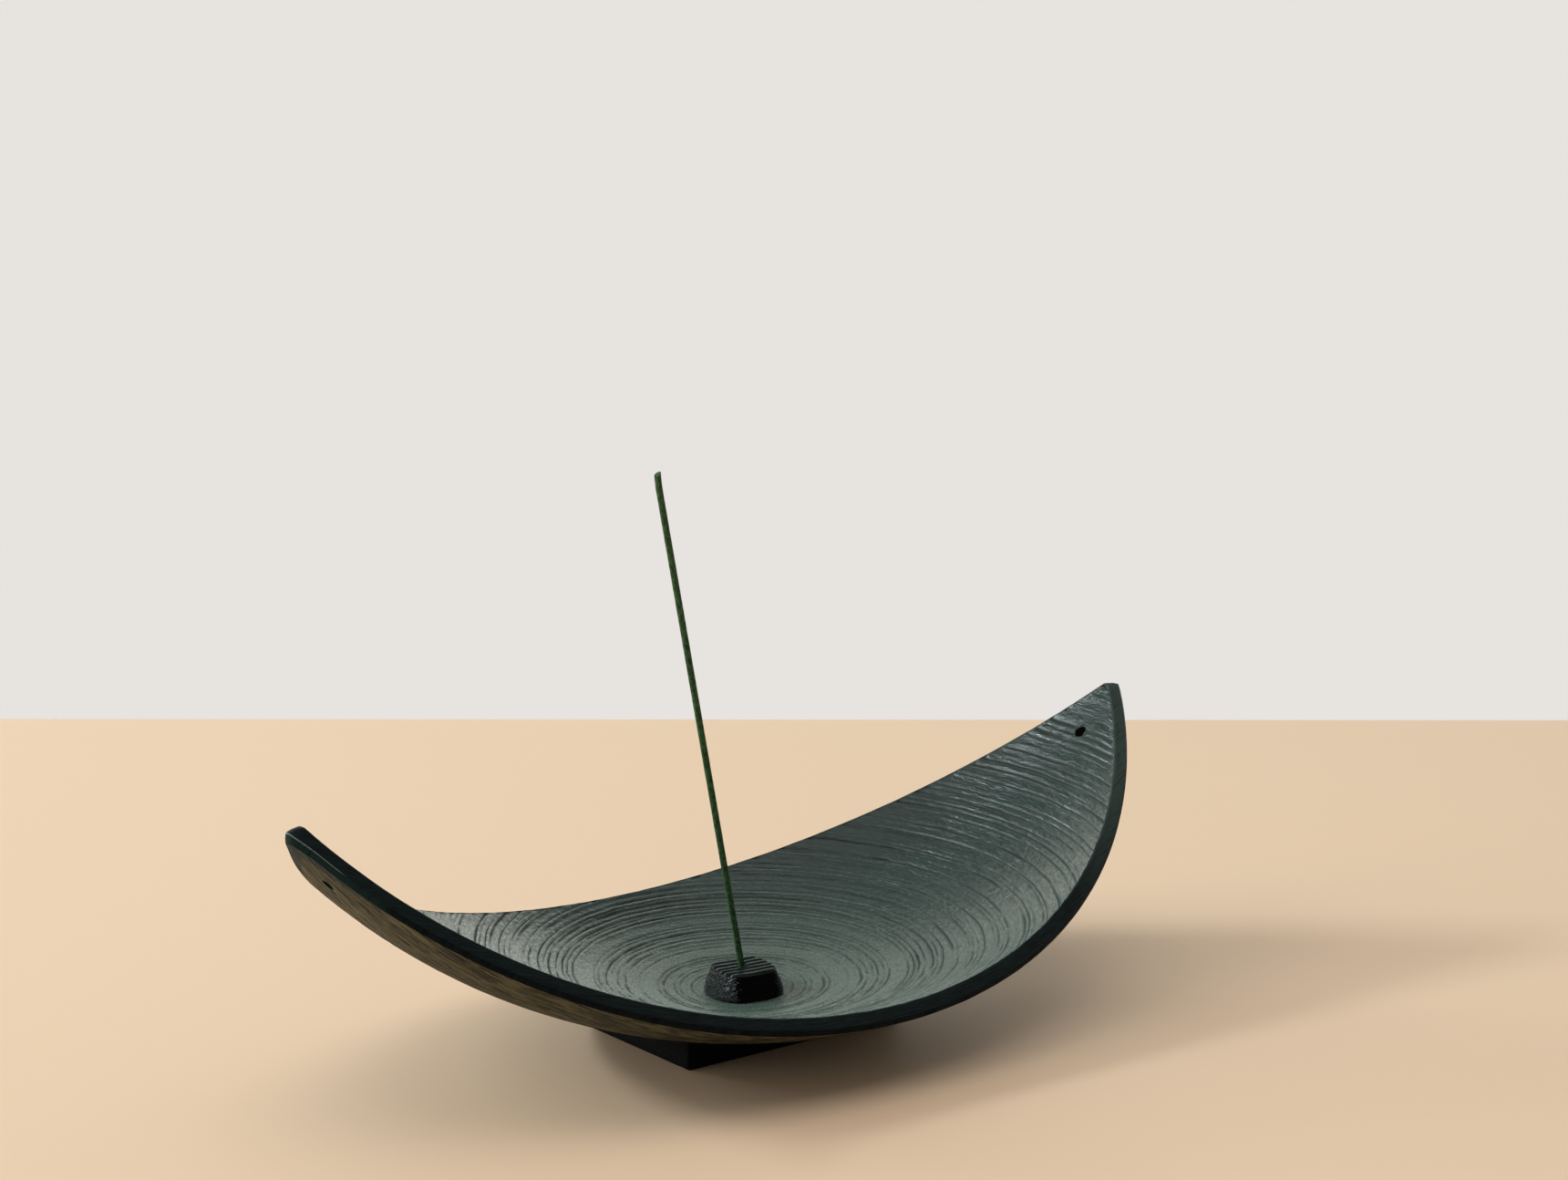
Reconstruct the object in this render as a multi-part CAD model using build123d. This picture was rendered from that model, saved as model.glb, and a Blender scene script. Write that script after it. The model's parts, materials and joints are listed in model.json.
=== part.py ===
"""Boat-shaped wooden incense burner: dish, foot, loose stick holder and incense stick.

Millimetres, +Z up. The origin is on the surface that the foot stands on, under the middle
of the dish. +X runs along the dish from tip to tip, and +Y across it.
"""
import os
from math import asin, atan, cos, degrees, radians, sin, sqrt, tan

from build123d import *

# Dish: a slice of a thin spherical bowl, under two planes that meet in a ridge line over
# its length.
BOWL_RADIUS = 148.0          # inside of the bowl
WALL = 4.4
LENGTH = 250.0               # over the squared-off tips
HOLLOW_HALF_LENGTH = 121.5   # from the middle to where the hollow runs out at a tip
RIM_SLOPE = 41.0             # degrees that each cut plane falls from the ridge line
RIDGE_LIFT = 0.4             # of the ridge line over the ends of the hollow
TIP_LAND_DROP = 0.8          # of the small level land on each tip, under the ridge line
BEVEL_ON_RIM = 1.2           # bevel of the rim's outer arris, measured on the rim face
BEVEL_ON_SIDE = 1.6          # and measured on the outer side
INNER_ARRIS = 0.4            # rounding of the rim's inner arris
TIP_HOLE_DIAMETER = 3.3
TIP_HOLE_X = 112.0           # of the hole's mouth in the hollow

# Foot: a plain block, hollowed on top to bed against the dish.
FOOT_LENGTH = 64.0
FOOT_WIDTH = 42.0
FOOT_MIDDLE = 2.8            # thickness left under the lowest point of the dish
GLUE_LINE = 0.05

# Holder: a loose domed block with a flat on each side, standing near the dish's middle.
HOLDER_LENGTH = 20.4
HOLDER_WIDTH = 18.7
HOLDER_HEIGHT = 6.9
HOLDER_TOP_FLATS = 14.2      # from flat to flat at the top, both ways
HOLDER_BASE_RADIUS = 10.15   # of the round dome that the flats cut into
HOLDER_TOP_RADIUS = 8.0
HOLDER_BULGE = 0.5           # of the dome's side, outside the straight taper
HOLDER_EASING = 0.6          # rounding of the holder's edges
HOLDER_GAP = 0.1             # between the holder and the hollow
HOLDER_X = 1.5
HOLDER_Y = 2.4
HOLDER_TURN = -9.0           # degrees about the holder's own upright
STICK_HOLE_DIAMETER = 3.0    # drilled right through

# Stick: leans in its hole, on the mouth's edge on one side and low on the wall on the other.
STICK_LENGTH = 135.5
STICK_DIAMETER = 1.7
STICK_GAP = 0.04             # at each of those two places
STICK_STANDS_OFF = 0.2       # of its lower end above the underside of the holder
STICK_CUT = 22.0             # degrees that its upper end is off square
STICK_LEANS_TOWARDS = 180.0  # degrees from +X, seen from above

TOOL = 400.0                 # size of cutting blocks, larger than the dish

bowl_outer_radius = BOWL_RADIUS + WALL
hollow_floor = FOOT_MIDDLE + WALL
bowl_centre = Vector(0, 0, hollow_floor + BOWL_RADIUS)


def depth_on_ball(radius, x, y):
    """Height at x, y of the lower half of a sphere about the bowl's centre."""
    return bowl_centre.Z - sqrt(radius**2 - x**2 - y**2)


ridge_height = depth_on_ball(BOWL_RADIUS, HOLLOW_HALF_LENGTH, 0) + RIDGE_LIFT


def ball(radius):
    """Sphere about the bowl's centre, with its poles off to the sides of the dish."""
    return Pos(*bowl_centre) * Rot(90, 0, 0) * Sphere(radius)


def under_cut_planes():
    """Everything under the two planes that slope down from the ridge line."""
    reach = TOOL / 2
    side_height = ridge_height - reach * tan(radians(RIM_SLOPE))
    section = Polyline(
        (0, ridge_height),
        (reach, side_height),
        (reach, -TOOL),
        (-reach, -TOOL),
        (-reach, side_height),
        close=True,
    )
    return extrude(Plane.YZ * make_face(section), amount=reach, both=True)


def rim_arcs(shape, near_radius):
    """The two long arcs along the rim whose radius is nearest to the one given."""
    arcs = shape.edges().filter_by(GeomType.CIRCLE).sort_by(Edge.length)[-4:]
    return arcs.sort_by(lambda arc: abs(arc.radius - near_radius))[:2]


def rim_arc_radius(sphere_radius):
    """Radius of the circle in which a cut plane meets a sphere about the bowl's centre."""
    plane_distance = (bowl_centre.Z - ridge_height) * cos(radians(RIM_SLOPE))
    return sqrt(sphere_radius**2 - plane_distance**2)


def tip_drill(side):
    """Drill for one tip hole, square to the bowl's surface."""
    mouth = Vector(side * TIP_HOLE_X, 0, depth_on_ball(BOWL_RADIUS, TIP_HOLE_X, 0))
    along = Plane(origin=mouth, z_dir=mouth - bowl_centre)
    return along.location * Cylinder(TIP_HOLE_DIAMETER / 2, 4 * WALL)


def make_dish():
    shell = (ball(bowl_outer_radius) - ball(BOWL_RADIUS)) & under_cut_planes()
    land_height = ridge_height - TIP_LAND_DROP
    shell &= Pos(0, 0, land_height - TOOL / 2) * Box(LENGTH, TOOL, TOOL)
    outer = rim_arcs(shell, rim_arc_radius(bowl_outer_radius))
    shell = chamfer(outer, BEVEL_ON_RIM, BEVEL_ON_SIDE)
    inner = rim_arcs(shell, rim_arc_radius(BOWL_RADIUS))
    shell = fillet(inner, INNER_ARRIS)
    for side in (-1, 1):
        shell -= tip_drill(side)
    return shell


def make_foot():
    corner_height = depth_on_ball(bowl_outer_radius, FOOT_LENGTH / 2, FOOT_WIDTH / 2)
    block = Pos(0, 0, corner_height / 2) * Box(FOOT_LENGTH, FOOT_WIDTH, corner_height)
    return block - ball(bowl_outer_radius + GLUE_LINE)


def holder_place():
    """Where the holder stands: slid over the hollow from its lowest point, and turned."""
    tip_x = degrees(asin(HOLDER_Y / BOWL_RADIUS))
    tip_y = -degrees(asin(HOLDER_X / BOWL_RADIUS))
    return Pos(*bowl_centre) * Rot(tip_x, tip_y, 0) * Pos(*-bowl_centre) * Rot(0, 0, HOLDER_TURN)


def holder_dome():
    """Round dome with slightly bulging sides, on the hollow's lowest point."""
    top = hollow_floor + HOLDER_HEIGHT
    middle_radius = (HOLDER_BASE_RADIUS + HOLDER_TOP_RADIUS) / 2 + HOLDER_BULGE
    side = ThreePointArc(
        (HOLDER_BASE_RADIUS, hollow_floor),
        (middle_radius, (hollow_floor + top) / 2),
        (HOLDER_TOP_RADIUS, top),
    )
    rest = Polyline(
        (HOLDER_TOP_RADIUS, top),
        (0, top),
        (0, hollow_floor),
        (HOLDER_BASE_RADIUS, hollow_floor),
    )
    return revolve(Plane.XZ * make_face(Curve([side, rest]).edges()), Axis.Z)


def holder_flats():
    """Four-sided block that tapers to the holder's level top."""
    base = Pos(0, 0, hollow_floor) * Rectangle(HOLDER_LENGTH, HOLDER_WIDTH)
    top_height = hollow_floor + HOLDER_HEIGHT
    top = Pos(0, 0, top_height) * Rectangle(HOLDER_TOP_FLATS, HOLDER_TOP_FLATS)
    return loft([base, top], ruled=True)


def make_holder():
    block = holder_dome() & holder_flats() & ball(BOWL_RADIUS - HOLDER_GAP)
    block = fillet(block.edges(), HOLDER_EASING)
    block -= Cylinder(STICK_HOLE_DIAMETER / 2, TOOL)
    return holder_place() * block


def stick_lean():
    """Degrees off the hole's axis at which the stick fills the hole from side to side."""
    room = STICK_HOLE_DIAMETER - 2 * STICK_GAP
    height = HOLDER_HEIGHT - STICK_STANDS_OFF
    lean = 0.0
    for _ in range(20):
        lean = atan((room - STICK_DIAMETER * cos(lean)) / height)
    return degrees(lean)


def make_stick():
    lean = radians(stick_lean())
    half = STICK_DIAMETER / 2
    foot_x = -(STICK_HOLE_DIAMETER / 2 - STICK_GAP) + half * cos(lean)
    foot_z = hollow_floor + STICK_STANDS_OFF + half * sin(lean)
    rod = Pos(0, 0, STICK_LENGTH / 2) * Cylinder(half, STICK_LENGTH)
    knife = Pos(-half, 0, STICK_LENGTH) * Rot(0, STICK_CUT, 0) * Pos(0, 0, 5) * Box(20, 20, 10)
    rod -= knife
    leaning = Pos(foot_x, 0, foot_z) * Rot(0, degrees(lean), 0) * rod
    return holder_place() * Rot(0, 0, STICK_LEANS_TOWARDS - HOLDER_TURN) * leaning


PARTS = {
    "dish": make_dish,
    "foot": make_foot,
    "stick_holder": make_holder,
    "incense_stick": make_stick,
}

if __name__ == "__main__":
    os.makedirs("parts", exist_ok=True)
    for name, make in PARTS.items():
        shape = make()
        export_step(shape, f"parts/{name}.step")
        box = shape.bounding_box()
        print(f"{name}: {len(shape.solids())} solid, {shape.volume:.1f} mm3, {box}")
    print(f"stick leans {stick_lean():.2f} degrees")
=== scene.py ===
"""Looks of the boat-shaped wooden incense burner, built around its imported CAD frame.

Blender objects are in metres in the frame's own axes. The shapes are worked out in
millimetres, as arrays of points, and scaled once, when a mesh is made.
"""
import json
from math import asin, cos, hypot, pi, radians, sin, tan

import bmesh
import bpy
import numpy as np
from mathutils import Matrix, Vector


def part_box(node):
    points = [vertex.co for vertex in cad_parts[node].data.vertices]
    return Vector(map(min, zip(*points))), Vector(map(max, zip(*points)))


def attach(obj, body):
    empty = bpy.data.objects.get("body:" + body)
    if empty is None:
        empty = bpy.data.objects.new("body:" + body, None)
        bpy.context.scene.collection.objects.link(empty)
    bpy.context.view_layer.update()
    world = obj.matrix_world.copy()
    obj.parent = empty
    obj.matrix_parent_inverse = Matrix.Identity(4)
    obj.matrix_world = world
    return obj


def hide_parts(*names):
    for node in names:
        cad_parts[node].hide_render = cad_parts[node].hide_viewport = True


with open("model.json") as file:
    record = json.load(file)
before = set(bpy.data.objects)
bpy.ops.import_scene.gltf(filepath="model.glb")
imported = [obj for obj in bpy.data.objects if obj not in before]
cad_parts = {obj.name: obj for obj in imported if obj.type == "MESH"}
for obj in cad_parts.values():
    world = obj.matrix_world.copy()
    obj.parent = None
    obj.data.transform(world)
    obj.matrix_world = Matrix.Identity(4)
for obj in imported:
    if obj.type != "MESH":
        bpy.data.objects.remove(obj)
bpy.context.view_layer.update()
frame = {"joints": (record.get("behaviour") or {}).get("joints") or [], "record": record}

METRES = 0.001               # per millimetre

# Dish, as designed: a slice of a spherical bowl under two planes that meet in a ridge line.
BOWL_RADIUS = 148.0          # inside of the bowl
RIM_SLOPE = radians(41.0)    # of each cut plane, down from the ridge line
TIP_LAND_DROP = 0.8          # of the level land on each tip, under the ridge line
BEVEL_ON_RIM = 1.2           # width that the bevel of its outer arris takes off the rim
BEVEL_UNDER_RIM = 1.46       # depth of that bevel, square to the rim
ARRIS = 0.4                  # rounding of the rim's inner arris
BEVEL_EASING = 0.6           # rounding between the rim and its bevel
TIP_ROUNDING = 3.8           # length over which each tip is rounded off
TIP_DROP_LEFT = 1.1          # at its very end
TIP_DROP_RIGHT = 0.4
SANDING_AND_HIGHLIGHT_DEPTH = 4.0           # of the patch under a tip, below the rim at the very end: sanding, and on the arris a painted highlight
RIM_UNEVENNESS = 0.05        # of the rim's and the bevel's surface
SIDE_UNEVENNESS = 0.05       # of the outside's
WALL = 4.4
GLUE_LINE = 0.05

# Growth rings of the hollow: circles, seen from above, about a point near the middle.
PITH_X = 3.0
PITH_Y = 5.0
BOLD_RINGS = (20, 24, 29.5, 34, 39.5, 44.5, 48, 52.7, 56.5, 62.5, 66, 70, 74.5, 78.5, 83.5,
              86.7, 92, 95.2, 98, 101.7, 104.2, 106.8, 109.5, 112, 114.5, 117.5)
BOLD_GROOVE = 0.8, 0.36      # length of the climb out of a bold ring's groove, and its depth
FINE_GROOVE = 0.55           # length of a fine one's climb
FINE_DEPTHS = 0.18, 0.34     # least and most
FINE_RING_GAPS = 1.2, 1.9    # least and most, from one fine ring to the next
RING_LIMIT = 124.0           # outermost ring
FIRST_RING = 2.0
CLEAR_OF_BOLD = 0.9          # least from a fine ring to a bold one
STEEP_SIDE = 0.4             # of each groove, as a share of the climb
RING_STRENGTH = 0.85, 0.4, 0.2       # of a groove, and how much it varies slowly and fast
RING_STRENGTH_LIMIT = 1.4
RING_WAVE = 0.9, 22.0        # how far rings stray from circles, and over how many millimetres
RING_RIPPLE = 0.16, 3.1      # the same, for their finer wobble
SETTLED_RING = 25.0          # within which rings stray less
BRUSHING = 0.03, 0.55        # depth of the brushed scratches, and from one to the next
BRUSHED_RING = 12.0          # within which they are shallower
FULL_SHADE_DEPTH = 0.25            # groove depth at which its bottom gets the full painted shade

COLUMNS = 432                # of the dish's mesh, round the rim
FIRST_ROW = 0.7              # of the hollow's mesh, as a ring
ROW_GAP = 0.8                # most between two of its rows
CLOSE_ROWS = 0.12            # nearer rows than this are merged
SPARSE_COLUMNS = ((7, 8), (15, 4), (30, 2))     # within a ring, one column in so many
OUTER_ROWS = 30
OUTER_START = 0.12           # of the outside's mesh, under the bevel's edge
SPARSE_OUTSIDE = ((0.5, 1), (0.25, 2), (0.1, 4), (0.0, 8))      # past a share of the way out
DRILL_SIDES = 40
GRAIN_STRETCH = 9.0          # of the wood's texture, along its grain
RING_GRAIN_RADIUS = 12.0     # of the circle that the hollow's texture goes round on

# Search for the rim, outwards from the pith.
SHORTEST_REACH = 30.0
LONGEST_REACH = 131.0
REACH_HALVINGS = 30

# Holder, as designed.
HOLDER_LENGTH = 20.4
HOLDER_WIDTH = 18.7
HOLDER_HEIGHT = 6.9
HOLDER_TOP_FLATS = 14.2
HOLDER_BASE_RADIUS = 10.15
HOLDER_TOP_RADIUS = 8.0
HOLDER_BULGE = 0.5
HOLDER_SKIRT = 0.9           # how far the flats fade out at the base
HOLDER_GAP = 0.1
HOLDER_X = 1.5
HOLDER_Y = 2.4
HOLDER_TURN = radians(-9.0)
HOLDER_CORNERS = 14          # sharpness of the corners between its flats and its dome
HOLDER_SHOULDER = 0.75       # rounding between its top and its sides
HOLDER_TOE = 0.5             # and between its sides and its underside
STICK_HOLE_RADIUS = 1.5
HOLDER_COLUMNS = 240
GRAIN_RIDGE_GAP = 2.2        # between the ridges on the holder's top
GRAIN_RIDGE_DEPTH = 0.8
END_GRAIN_DEPTH = 0.11       # of the pits in its sawn ends
END_GRAIN_REACH = radians(50.0)      # of the sawn ends, round the block from their middles

# Stick, as designed.
STICK_LENGTH = 135.5
STICK_RADIUS = 0.85
STICK_CUT = radians(22.0)
STICK_SIDES = 24
STICK_ROWS = 230
STICK_ROUGHNESS = 0.02
STICK_CURL = 0.35            # how far its upper end bends over
STICK_CURL_LENGTH = 5.0

dish_low, dish_high = (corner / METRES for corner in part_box("dish"))
foot_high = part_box("foot")[1] / METRES
outer_radius = BOWL_RADIUS + WALL
hollow_floor = dish_low.z + WALL
bowl_height = hollow_floor + BOWL_RADIUS      # of the bowl's centre
land_height = dish_high.z
ridge_height = land_height + TIP_LAND_DROP
half_length = dish_high.x
rim_distance = (bowl_height - ridge_height) * cos(RIM_SLOPE)   # of each cut plane from it


# ------ camera, light and stage

CAMERA_PLACE = Vector((-440.4, -601.9, 243.1))
CAMERA_YAW = radians(37.01)
CAMERA_PITCH = radians(10.152)
CAMERA_ROLL = radians(-0.469)
LENS = 71.575
FLOOR_BEHIND = 348.0         # from the middle of the dish to the floor's far edge
FLOOR_YAW = radians(39.4)    # the way that edge faces
FLOOR_REACH = 4000.0
DAYLIGHT = (1.0, 0.98, 0.95)
SKYLIGHT = (0.82, 0.95, 1.0)

# Light from all round: from above, from the room's sides, from the wall ahead of the camera,
# and from the lowest strip, which is the part in view.
OVERHEAD = (0.20, 0.20, 0.20)
ROOM = (0.30, 0.30, 0.29)
WALL_GLOW = (1.95, 1.95, 1.78)
WALL_FOOT = (0.80, 0.77, 0.745)

# Area lights: name, direction (right of the camera, ahead of it, up), distance, width and
# height in metres, power in watts, colour.
LIGHTS = (
    ("window", (-0.85, -0.17, 0.52), 3.2, 2.8, 2.8, 56.0, DAYLIGHT),
    ("pane", (-0.85, 0.05, 0.5), 3.2, 0.9, 0.12, 48.0, SKYLIGHT),
    ("glimmer", (-0.86, 0.5, 0.2), 3.2, 0.4, 0.4, 28.0, SKYLIGHT),
    ("ceiling", (0.0, 0.0, 1.0), 2.4, 2.4, 2.4, 21.0, DAYLIGHT),
)


def level_axes(yaw=CAMERA_YAW):
    """Level directions ahead and to the right of something that faces this way."""
    return Vector((sin(yaw), cos(yaw), 0)), Vector((cos(yaw), -sin(yaw), 0))


def make_camera():
    ahead, right = level_axes()
    look = ahead * cos(CAMERA_PITCH) - Vector((0, 0, sin(CAMERA_PITCH)))
    up = right.cross(look)
    turn = Matrix((right, up, -look)).transposed() @ Matrix.Rotation(CAMERA_ROLL, 3, "Z")
    data = bpy.data.cameras.new("camera")
    data.lens = LENS
    data.clip_end = 100
    camera = bpy.data.objects.new("camera", data)
    bpy.context.scene.collection.objects.link(camera)
    camera.matrix_world = Matrix.Translation(CAMERA_PLACE * METRES) @ turn.to_4x4()
    bpy.context.scene.camera = camera


def make_area_light(name, towards, distance, width, height, power, colour):
    """A soft light that looks at the dish from the direction given."""
    data = bpy.data.lights.new(name, "AREA")
    data.shape = "RECTANGLE"
    data.size = width
    data.size_y = height
    data.energy = power
    data.color = colour
    light = bpy.data.objects.new(name, data)
    bpy.context.scene.collection.objects.link(light)
    direction = towards.normalized()
    light.location = direction * distance
    light.rotation_mode = "QUATERNION"
    light.rotation_quaternion = direction.to_track_quat("Z", "Y")
    light.visible_camera = False


def make_lights():
    ahead, right = level_axes()
    for name, (rightwards, forwards, upwards), *measures in LIGHTS:
        towards = right * rightwards + ahead * forwards + Vector((0, 0, upwards))
        make_area_light(name, towards, *measures)


class Nodes:
    """A node tree, with a call for each kind of node that is used."""

    def __init__(self, tree):
        self.tree = tree

    def node(self, kind, **settings):
        made = self.tree.nodes.new(kind)
        for key, value in settings.items():
            setattr(made, key, value)
        return made

    def link(self, output, socket):
        self.tree.links.new(output, socket)

    def attribute(self, name, output):
        return self.node("ShaderNodeAttribute", attribute_name=name).outputs[output]

    def noise(self, vector, scale, detail=3.0, roughness=0.55):
        made = self.node("ShaderNodeTexNoise")
        made.inputs["Scale"].default_value = scale
        made.inputs["Detail"].default_value = detail
        made.inputs["Roughness"].default_value = roughness
        self.link(vector, made.inputs["Vector"])
        return made.outputs["Fac"]

    def cells(self, vector, scale):
        made = self.node("ShaderNodeTexVoronoi")
        made.inputs["Scale"].default_value = scale
        self.link(vector, made.inputs["Vector"])
        return made.outputs["Distance"]

    def vector(self, operation, vector, other, output="Vector"):
        made = self.node("ShaderNodeVectorMath", operation=operation)
        made.inputs[1].default_value = other
        self.link(vector, made.inputs[0])
        return made.outputs[output]

    def scaled(self, vector, factors):
        return self.vector("MULTIPLY", vector, factors)

    def ramp(self, value, low, high, to_low=0.0, to_high=1.0):
        """A smooth step from to_low at low to to_high at high."""
        made = self.node("ShaderNodeMapRange", interpolation_type="SMOOTHSTEP")
        settings = zip(("From Min", "From Max", "To Min", "To Max"), (low, high, to_low, to_high))
        for socket, number in settings:
            made.inputs[socket].default_value = number
        self.link(value, made.inputs["Value"])
        return made.outputs["Result"]

    def math(self, operation, first, second=0.0):
        made = self.node("ShaderNodeMath", operation=operation)
        for socket, value in zip(made.inputs, (first, second)):
            if isinstance(value, (int, float)):
                socket.default_value = value
            else:
                self.link(value, socket)
        return made.outputs[0]

    def mix(self, factor, first, second):
        """Between two colours, each a tuple or a node's output."""
        made = self.node("ShaderNodeMix", data_type="RGBA")
        colours = [socket for socket in made.inputs if socket.type == "RGBA"]
        self.link(factor, made.inputs["Factor"])
        for socket, value in zip(colours, (first, second)):
            if isinstance(value, tuple):
                socket.default_value = (*value, 1)
            else:
                self.link(value, socket)
        return next(socket for socket in made.outputs if socket.type == "RGBA")

    def bump(self, height, depth, onto=None):
        """A surface normal, for bumps of a depth in millimetres."""
        made = self.node("ShaderNodeBump")
        made.inputs["Distance"].default_value = depth * METRES
        self.link(height, made.inputs["Height"])
        if onto:
            self.link(onto, made.inputs["Normal"])
        return made.outputs["Normal"]


def make_world():
    """Soft light all round: a pale wall ahead of the camera, and a dimmer room elsewhere."""
    world = bpy.data.worlds.new("room")
    world.use_nodes = True
    bpy.context.scene.world = world
    world.node_tree.nodes.clear()
    nodes = Nodes(world.node_tree)
    way = nodes.node("ShaderNodeTexCoord").outputs["Generated"]
    ahead = nodes.vector("DOT_PRODUCT", way, level_axes()[0], "Value")
    down = nodes.vector("DOT_PRODUCT", way, (0, 0, -1), "Value")
    sides = nodes.mix(nodes.ramp(ahead, 0.3, 0.95), ROOM, WALL_GLOW)
    around = nodes.mix(nodes.ramp(down, -0.7, -0.3), OVERHEAD, sides)
    colour = nodes.mix(nodes.ramp(down, -0.10, -0.03), around, WALL_FOOT)
    background = nodes.node("ShaderNodeBackground")
    output = nodes.node("ShaderNodeOutputWorld")
    nodes.link(colour, background.inputs["Color"])
    nodes.link(background.outputs["Background"], output.inputs["Surface"])


def make_floor():
    ahead, right = level_axes(FLOOR_YAW)
    far = ahead * FLOOR_BEHIND
    near = far - ahead * FLOOR_REACH
    side = right * FLOOR_REACH
    corners = [near - side, near + side, far + side, far - side]
    mesh = bpy.data.meshes.new("floor")
    mesh.from_pydata([corner * METRES for corner in corners], [], [(0, 1, 2, 3)])
    floor = bpy.data.objects.new("floor", mesh)
    bpy.context.scene.collection.objects.link(floor)
    material = bpy.data.materials.new("floor")
    material.use_nodes = True
    shader = material.node_tree.nodes["Principled BSDF"]
    shader.inputs["Base Color"].default_value = (0.715, 0.518, 0.352, 1)
    shader.inputs["Roughness"].default_value = 0.6
    shader.inputs["Specular IOR Level"].default_value = 0.25
    mesh.materials.append(material)


# ------ mesh helpers

class Noise:
    """Smooth seeded noise between -1 and 1, on a grid of cells that wraps both ways."""

    def __init__(self, seed, rows, columns):
        self.table = np.random.default_rng(seed).uniform(-1, 1, (rows, columns))

    def __call__(self, row, column):
        rows, columns = self.table.shape
        row, column = np.broadcast_arrays(row, column)
        row_cell = np.floor(row).astype(int)
        column_cell = np.floor(column).astype(int)
        down = row - row_cell
        along = column - column_cell
        down = down * down * (3 - 2 * down)
        along = along * along * (3 - 2 * along)
        here, below = row_cell % rows, (row_cell + 1) % rows
        left, right = column_cell % columns, (column_cell + 1) % columns
        top = self.table[here, left] * (1 - along) + self.table[here, right] * along
        bottom = self.table[below, left] * (1 - along) + self.table[below, right] * along
        return top * (1 - down) + bottom * down

    def around(self, row, angle):
        """The noise with all its columns laid once round a full turn."""
        return self(row, angle / (2 * pi) * self.table.shape[1])


class Skin:
    """The points, faces and point attributes of one mesh in the making."""

    def __init__(self):
        self.points = []
        self.grain = []
        self.groove_shade = []
        self.faces = []
        self.finishes = []
        self.count = 0

    def add(self, points, grain, groove_shade):
        """Adds points with their place in the grain and how much painted groove shade they get;
        gives their numbers.
        """
        first = self.count
        self.count += len(points)
        self.points.append(points)
        self.grain.append(grain)
        self.groove_shade.append(np.broadcast_to(groove_shade, len(points)))
        return np.arange(first, self.count)

    def finish(self, number):
        """Gives the faces added since the last call a material, by one number or one each."""
        self.finishes += list(np.broadcast_to(number, len(self.faces) - len(self.finishes)))

    def band(self, near, far, near_step=1, far_step=1):
        """Faces between two closed rows, where a coarser row skips columns."""
        total = len(near)
        widest = max(near_step, far_step)
        for start in range(0, total, widest):
            back = range(start + widest, start - 1, -near_step)
            out = range(start, start + widest + 1, far_step)
            face = [near[c % total] for c in back] + [far[c % total] for c in out]
            self.faces.append(face)

    def bands(self, rows, outwards=True):
        """Faces between each row and the next."""
        for near, far in zip(rows, rows[1:]):
            self.band(*((near, far) if outwards else (far, near)))

    def fan(self, centre, row, step=1, inside_first=True):
        """Triangles from one point to a closed row."""
        total = len(row)
        for start in range(0, total, step):
            pair = [row[start], row[(start + step) % total]]
            self.faces.append([centre] + (pair if inside_first else pair[::-1]))

    def make(self, name, materials, place=Matrix.Identity(4)):
        """The finished object, smooth shaded, with its materials and attributes."""
        points = np.concatenate(self.points) * METRES
        matrix = np.array(place)
        points = points @ matrix[:3, :3].T + matrix[:3, 3]
        mesh = bpy.data.meshes.new(name)
        mesh.from_pydata(points.tolist(), [], self.faces)
        grain = mesh.attributes.new("grain", "FLOAT_VECTOR", "POINT")
        grain.data.foreach_set("vector", np.concatenate(self.grain).ravel())
        # painted shade in the grooves, for each point
        groove_shade = mesh.attributes.new("groove_shade", "FLOAT", "POINT")
        groove_shade.data.foreach_set("value", np.concatenate(self.groove_shade))
        for material in materials:
            mesh.materials.append(material)
        self.finish(0)
        mesh.polygons.foreach_set("material_index", self.finishes)
        mesh.polygons.foreach_set("use_smooth", [True] * len(mesh.polygons))
        piece = bpy.data.objects.new(name, mesh)
        bpy.context.scene.collection.objects.link(piece)
        return piece


def stack(*columns):
    """Points from their separate coordinates, each a number or an array."""
    return np.stack(np.broadcast_arrays(*columns), axis=-1).reshape(-1, len(columns))


# ------ dish

IN_HOLLOW, ON_RIM, ON_ARRIS, ON_BEVEL, ON_OUTSIDE = range(5)     # numbers of its materials

ring_wave = Noise(11, 7, 5)
ring_ripple = Noise(12, 40, 64)
ring_depth = Noise(13, 997, 36)
ring_break = Noise(14, 991, 150)
brushing = Noise(15, 257, 220)
rim_unevenness = Noise(16, 16, 180)
side_grain = Noise(17, 61, 23)


def bowl_depth(radius, x, y):
    """Height of the lower half of a sphere about the bowl's centre."""
    return bowl_height - np.sqrt(radius**2 - x**2 - y**2)


def lid_height(x, y, drop=0.0):
    """Height of the cut planes and the tips' lands, lowered squarely by drop."""
    plane = ridge_height - np.abs(y) * tan(RIM_SLOPE) - drop / cos(RIM_SLOPE)
    return np.minimum(plane, land_height - drop)


def spread(angle, distance):
    """Places at a distance from the pith, seen from above."""
    return PITH_X + distance * np.cos(angle), PITH_Y + distance * np.sin(angle)


def rim_reach(angle, radius, drop):
    """Distance from the pith at which a sphere about the bowl's centre meets the rim."""
    end = (half_length - PITH_X * np.sign(np.cos(angle))) / np.abs(np.cos(angle))
    near = np.full_like(angle, SHORTEST_REACH)
    far = np.full_like(angle, LONGEST_REACH)
    for _halving in range(REACH_HALVINGS):
        middle = (near + far) / 2
        x, y = spread(angle, middle)
        out = bowl_depth(radius, x, y) > lid_height(x, y, drop)
        far = np.where(out, middle, far)
        near = np.where(out, near, middle)
    return np.minimum(near, end)


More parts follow.
